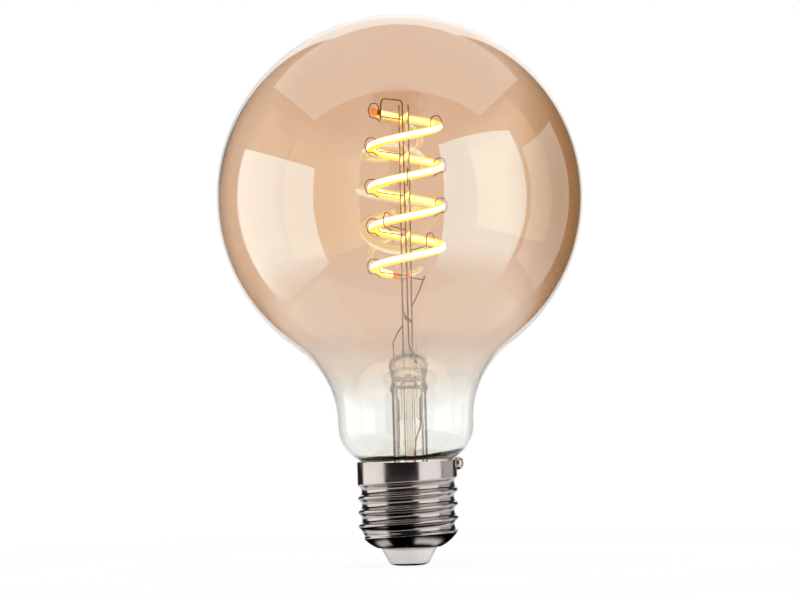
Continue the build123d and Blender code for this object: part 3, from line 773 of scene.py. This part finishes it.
class LAMP_OT_wires(bpy.types.Operator):
    """Smooths the lead wires, seal wires, hooks and terminals, and adds their welds"""
    bl_idname = "lamp.wires"
    bl_label = "Wires"

    # Where the lead wires are butt-welded to the seal wires.
    left_weld = Vector((-2.6, -4.2, 54.3)) * MM
    right_weld = Vector((2.95, -5.1, 53.4)) * MM

    def execute(self, context):
        wires = [(f"hook_{n}", f"support_wire_{n}", "nickel_wire") for n in range(1, SUPPORT_COUNT + 1)]
        wires += [
            ("left_lead", "lead_wire_left", "nickel_wire"),
            ("right_lead", "lead_wire_right", "nickel_wire"),
            ("left_seal_wire", "seal_wire_left", "copper_wire"),
            ("right_seal_wire", "seal_wire_right", "copper_wire"),
            ("lower_terminal", "filament_tab_lower", "nickel_wire"),
            ("upper_terminal", "filament_pad_upper", "nickel_wire"),
        ]
        for name, node, slot in wires:
            finish_piece(fused_copy(name, node, 50.0), slot, [node])
        self.weld_beads()
        return {"FINISHED"}

    def weld_beads(self):
        """A drop of melted wire at each butt weld, modelled once and copied."""
        deselect()
        bpy.ops.mesh.primitive_ico_sphere_add(subdivisions=3, radius=0.42 * MM, location=self.left_weld)
        first = bpy.context.object
        first.name = "left_weld"
        first.scale = (1.0, 0.85, 1.35)
        bake_place(first)
        soften(first, 80.0)
        second = bpy.data.objects.new("right_weld", first.data.copy())
        bpy.context.scene.collection.objects.link(second)
        second.location = self.right_weld - self.left_weld
        bake_place(second)
        for bead in (first, second):
            finish_piece(bead, "copper_wire")


class LAMP_OT_cap(bpy.types.Operator):
    """Rolls the screw shell and smooths the insulator, contact, bead and cement"""
    bl_idname = "lamp.cap"
    bl_label = "Cap"

    # The grid's steps round the shell and up it, and the rings near its foot that stay plain.
    around, rings, plain_rings = 160, 130, 4
    # The groove starts at an angle from +X, runs down for a number of turns and fades at both ends.
    groove_start, groove_turns, run_in, run_out = 20 / 360, 3.7, 0.24, 0.2
    # The share of the thread's wave that is its wide trough. The rest is its narrow ridge.
    trough_share = 0.68

    def execute(self, context):
        self.shell(context.scene.lamp_sizes)
        for name, node, slot, angle in (
            ("moulded_insulator", "insulator", "white_insulator", 25.0),
            ("pressed_contact", "centre_contact", "tinned_contact", 25.0),
            ("contact_joint", "contact_solder", "solder", 35.0),
            ("cement_ring", "basing_cement", "cement", 35.0),
            ("rim_bead", "rim_solder_bead", "solder", 50.0),
            ("side_wire", "rim_wire", "copper_wire", 50.0),
        ):
            finish_piece(fused_copy(name, node, angle), slot, [node])
        return {"FINISHED"}

    def shell_outline(self, sizes):
        """The shell's outline from the insulator's neck, round the shoulder and up to the rim."""
        throat, sag = 6.6 * MM, 0.45 * MM
        low, high = SHELL_LOW.z, SHELL_HIGH.z
        crest = (SHELL_HIGH.x - SHELL_LOW.x) / 2
        chord_x, chord_z = crest - sizes.lip_radius, sizes.shoulder_height
        chord = sqrt(chord_x ** 2 + chord_z ** 2)
        radius = (chord ** 2 / 4 + sag ** 2) / (2 * sag)
        inward = (-chord_z / chord, chord_x / chord)
        centre_x = (crest + sizes.lip_radius) / 2 + inward[0] * (radius - sag)
        centre_z = low + chord_z / 2 + inward[1] * (radius - sag)
        start = atan2(low - centre_z, sizes.lip_radius - centre_x)
        end = atan2(low + chord_z - centre_z, crest - centre_x)
        outline = [(throat, low)] + arc((centre_x, centre_z), radius, start, end, 24)
        top = outline[-1][1]
        return outline + [(crest, top + (high - top) * i / self.rings) for i in range(1, self.rings + 1)]

    def groove_depth(self, sizes, turn, level):
        """The depth of the thread at a share of a turn from +X and a level. Its section is two arcs
        that meet in line: a wide one in the trough and a narrow one on the ridge."""
        groove_top = SHELL_HIGH.z - sizes.collar + sizes.thread_pitch * self.groove_start
        half = sizes.thread_pitch / 2
        both = (half ** 2 + sizes.thread_depth ** 2) / (2 * sizes.thread_depth)
        trough, ridge = both * self.trough_share, both * (1 - self.trough_share)
        # Turns below the groove's upper end, measured along the helix through this angle.
        here = (groove_top - level) / sizes.thread_pitch
        angle = (self.groove_start - turn) % 1.0
        lap = angle + round(here - angle)
        fade_in = min(1.0, max(0.0, (lap + self.run_in / 2) / self.run_in))
        fade_out = min(1.0, max(0.0, (self.groove_turns + self.run_out / 2 - lap) / self.run_out))
        fade = fade_in * fade_out
        fade = fade * fade * (3 - 2 * fade)
        across = abs(here - lap) * sizes.thread_pitch
        if across < half * self.trough_share:
            return fade * (sizes.thread_depth - trough + sqrt(trough ** 2 - across ** 2))
        return fade * (ridge - sqrt(ridge ** 2 - (half - across) ** 2))

    def shell(self, sizes):
        """The rolled shell. The thread is a wave along a helix that fades out at both ends, which no
        primitive or modifier gives, so a fine grid is wrapped round the shell's outline by its
        vertices."""
        outline = self.shell_outline(sizes)
        last = len(outline) - 1
        deselect()
        bpy.ops.mesh.primitive_grid_add(x_subdivisions=self.around, y_subdivisions=last, size=1.0)
        shell = bpy.context.object
        shell.name = "rolled_shell"
        for vertex in shell.data.vertices:
            turn = vertex.co.x + 0.5
            ring = round((vertex.co.y + 0.5) * last)
            reach, level = outline[ring]
            if ring > self.plain_rings:
                reach -= self.groove_depth(sizes, turn, level)
            vertex.co = Vector((reach * cos(2 * pi * turn), reach * sin(2 * pi * turn), level))
        clean_mesh(shell, SAME_POINT)
        apply_modifier(shell, "SOLIDIFY", thickness=sizes.sheet, offset=-1.0)
        apply_modifier(shell, "BEVEL", width=0.1 * MM, segments=2, limit_method="ANGLE",
                       angle_limit=radians(60))
        soften(shell, 50.0)
        finish_piece(shell, "nickel_plate", ["screw_shell"])


class LAMP_OT_driver(bpy.types.Operator):
    """Gives the parts inside the cap their finishes"""
    bl_idname = "lamp.driver"
    bl_label = "Driver"

    def execute(self, context):
        for node, finish in (
            ("driver_board", "board"),
            ("smoothing_capacitor", "can_aluminium"),
            ("bridge_rectifier", "black_moulding"),
            ("driver_chip", "black_moulding"),
            ("sense_resistor", "black_moulding"),
            ("fuse_resistor", "fuse_coating"),
            ("live_wire", "copper_wire"),
        ):
            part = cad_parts[node]
            part.data.materials.clear()
            part.data.materials.append(MATERIALS[finish])
        return {"FINISHED"}


class LAMP_OT_stage(bpy.types.Operator):
    """Sets the floor, the soft lights, the white backdrop and the camera"""
    bl_idname = "lamp.stage"
    bl_label = "Stage"

    # Soft boxes: the name, the middle, the width and height, all in metres, and the brightness.
    soft_boxes = (
        ("left_soft_box", (-0.80, -0.03, -0.115), 1.06, 1.00, 1.4),
        ("right_soft_box", (0.663, -0.447, -0.105), 0.88, 1.44, 1.35),
        ("side_soft_box", (0.75, 0.27, 0.015), 0.62, 0.80, 0.6),
        ("top_soft_box", (0.0, 0.375, 1.095), 2.1, 1.55, 0.5),
    )
    # A sight line through the globe, stem and pumping tube and out again crosses 12 glass faces.
    bounces = 20
    # The picture's width in pixels and a pixel's size at the lamp, then the camera's lean and place.
    picture_width, pixel = 800, 0.2596 * MM
    lean, distance, camera_x, camera_level = radians(1.6), 1.5, -0.61 * MM, 68.9 * MM
    floor_radius = 0.22

    def execute(self, context):
        self.floor()
        self.backdrop()
        for soft_box in self.soft_boxes:
            self.soft_box(*soft_box)
        self.camera()
        context.scene.view_settings.view_transform = "Standard"
        context.scene.cycles.max_bounces = self.bounces
        context.scene.cycles.transmission_bounces = self.bounces
        return {"FINISHED"}

    def floor(self):
        """A pale floor that keeps the lamp's shadow and fades into the white backdrop."""
        deselect()
        bpy.ops.mesh.primitive_circle_add(vertices=96, radius=self.floor_radius, fill_type="NGON")
        floor = bpy.context.object
        floor.name = "floor"
        material, tree, place, output = start_material("matt_white_board")
        reach = add_node(tree, "ShaderNodeVectorMath", {0: place}, operation="LENGTH").outputs["Value"]
        path = add_node(tree, "ShaderNodeLightPath").outputs
        seen = maths(tree, "MAXIMUM", path["Is Camera Ray"], path["Is Transmission Ray"])
        paper = add_node(tree, "ShaderNodeBsdfDiffuse", {"Color": "F2F1EF"})
        glow = add_node(tree, "ShaderNodeEmission", {"Color": "FFFFFF", "Strength": 1.0})
        board = mix_shaders(tree, maths(tree, "MULTIPLY", seen, 0.9), paper, glow)
        pale = self.mirrored_floor(tree, place, reach, path["Ray Length"])
        mirrored = add_node(tree, "ShaderNodeEmission", {"Color": "FFFFFF", "Strength": pale})
        board = mix_shaders(tree, path["Is Glossy Ray"], board, mirrored)
        clear = add_node(tree, "ShaderNodeBsdfTransparent")
        board = mix_shaders(tree, ramp(tree, reach, 80 * MM, 210 * MM), board, clear)
        tree.links.new(board.outputs[0], output.inputs["Surface"])
        floor.data.materials.append(material)

    def mirrored_floor(self, tree, place, reach, ray_length):
        """How pale the floor looks in a mirror. The globe, which is far from it, mirrors it pale all
        over. The cap mirrors it dark in front and behind. To either side the cap mirrors a pale spot
        near its foot, then a dark ring, and then the pale floor."""
        across, along = split(tree, place)[:2]
        turned = maths(tree, "DIVIDE", along, reach)
        ahead = maths(tree, "ADD", maths(tree, "MULTIPLY", across, -0.29),
                      maths(tree, "MULTIPLY", along, -0.96))
        beside = ramp(tree, maths(tree, "DIVIDE", ahead, reach), 0.82, 0.90, 1.0, 0.0)
        spot = maths(tree, "MULTIPLY", ramp(tree, reach, 7.2 * MM, 9.8 * MM),
                     ramp(tree, reach, 10.5 * MM, 14.2 * MM, 0.85, 0.0), beside,
                     ramp(tree, turned, -0.1, 0.3, 1.0, 0.0))
        outer = maths(tree, "MULTIPLY", ramp(tree, reach, 22 * MM, 30 * MM, 0.0, 0.9), beside,
                      ramp(tree, turned, 0.35, 0.60, 1.0, 0.0))
        far = ramp(tree, ray_length, 40 * MM, 48 * MM, 0.0, 0.8)
        return maths(tree, "MAXIMUM", far, spot, outer)

    def backdrop(self):
        """White to the camera and through glass. Metal and glass mirror the white backdrop that stands
        behind the lamp, and the darker studio elsewhere."""
        world = bpy.data.worlds.new("studio")
        bpy.context.scene.world = world
        world.use_nodes = True
        tree = world.node_tree
        tree.nodes.clear()
        x, y, z = split(tree, add_node(tree, "ShaderNodeTexCoord").outputs["Generated"])

        # Inside the backdrop's sides, under its top edge and over its foot, and brighter up.
        sides = maths(tree, "SUBTRACT", y, maths(tree, "MULTIPLY", maths(tree, "ABSOLUTE", x), 2.8))
        under_top = maths(tree, "SUBTRACT", maths(tree, "MULTIPLY", y, 0.8), z)
        over_foot = maths(tree, "ADD", maths(tree, "MULTIPLY", y, 0.45), z)
        behind = maths(tree, "MULTIPLY", ramp(tree, sides, 0.0, 0.12), ramp(tree, under_top, -0.08, 0.0),
                       ramp(tree, over_foot, 0.0, 0.1), ramp(tree, z, 0.05, 0.20, 1.0, 1.28))
        path = add_node(tree, "ShaderNodeLightPath").outputs
        mirrored = maths(tree, "MULTIPLY", path["Is Glossy Ray"], behind)
        through = maths(tree, "MULTIPLY", path["Is Transmission Ray"], ramp(tree, z, 0.55, 0.75, 1.0, 0.35))
        fill = maths(tree, "ADD", maths(tree, "MULTIPLY", path["Is Diffuse Ray"], 0.9), 0.012)
        strength = maths(tree, "MAXIMUM", fill, path["Is Camera Ray"], through, mirrored)
        sky = add_node(tree, "ShaderNodeBackground", {"Color": "FFFFFF", "Strength": strength})
        add_node(tree, "ShaderNodeOutputWorld", {"Surface": sky.outputs[0]})

    def soft_box(self, name, place, width, height, brightness):
        """A rectangular soft light. One at the lamp's level stands upright and faces its axis, and one
        overhead faces straight down. Its watts give the brightness named."""
        lamp = bpy.data.lights.new(name, "AREA")
        lamp.shape = "RECTANGLE"
        lamp.size = width
        lamp.size_y = height
        lamp.energy = brightness * pi * width * height
        box = bpy.data.objects.new(name, lamp)
        bpy.context.scene.collection.objects.link(box)
        overhead = place[2] > CAD_BOX[1].z
        away = Vector((0, 0, 1)) if overhead else Vector((place[0], place[1], 0))
        box.rotation_euler = away.to_track_quat("Z", "Y").to_euler()
        box.location = place
        box.visible_camera = False

    def camera(self):
        """A long lens, level with the globe's lower half. The lamp leans to the left in the picture."""
        data = bpy.data.cameras.new("camera")
        data.sensor_width = 36.0
        data.lens = data.sensor_width * self.distance / (self.picture_width * self.pixel)
        camera = bpy.data.objects.new("camera", data)
        bpy.context.scene.collection.objects.link(camera)
        right = Vector((cos(self.lean), 0, -sin(self.lean)))
        up = Vector((sin(self.lean), 0, cos(self.lean)))
        turn = Matrix((right, up, Vector((0, -1, 0)))).transposed().to_4x4()
        place = Matrix.Translation((self.camera_x, -self.distance, self.camera_level))
        camera.matrix_world = place @ turn
        bpy.context.scene.camera = camera


class LAMP_PT_panel(bpy.types.Panel):
    """The lamp's sizes, finishes and pieces"""
    bl_idname = "LAMP_PT_panel"
    bl_label = "Globe Filament Lamp"
    bl_space_type = "VIEW_3D"
    bl_region_type = "UI"
    bl_category = "Lamp"

    def draw(self, context):
        layout = self.layout
        for group in (context.scene.lamp_sizes, context.scene.lamp_finish):
            box = layout.box()
            for name in group.__annotations__:
                box.prop(group, name)
        for operator in STEPS:
            layout.operator(operator.bl_idname)


STEPS = (LAMP_OT_finishes, LAMP_OT_globe, LAMP_OT_stem, LAMP_OT_spiral, LAMP_OT_wires, LAMP_OT_cap,
         LAMP_OT_driver, LAMP_OT_stage)
CLASSES = (LampSizes, LampFinish) + STEPS + (LAMP_PT_panel,)


def register():
    for item in CLASSES:
        bpy.utils.register_class(item)
    bpy.types.Scene.lamp_sizes = bpy.props.PointerProperty(type=LampSizes)
    bpy.types.Scene.lamp_finish = bpy.props.PointerProperty(type=LampFinish)


def unregister():
    del bpy.types.Scene.lamp_finish
    del bpy.types.Scene.lamp_sizes
    for item in reversed(CLASSES):
        bpy.utils.unregister_class(item)


def main():
    """Makes the lamp and its stage."""
    register()
    deselect()
    bpy.ops.lamp.finishes()
    bpy.ops.lamp.globe()
    bpy.ops.lamp.stem()
    bpy.ops.lamp.spiral()
    bpy.ops.lamp.wires()
    bpy.ops.lamp.cap()
    bpy.ops.lamp.driver()
    bpy.ops.lamp.stage()


if __name__ == "__main__":
    main()
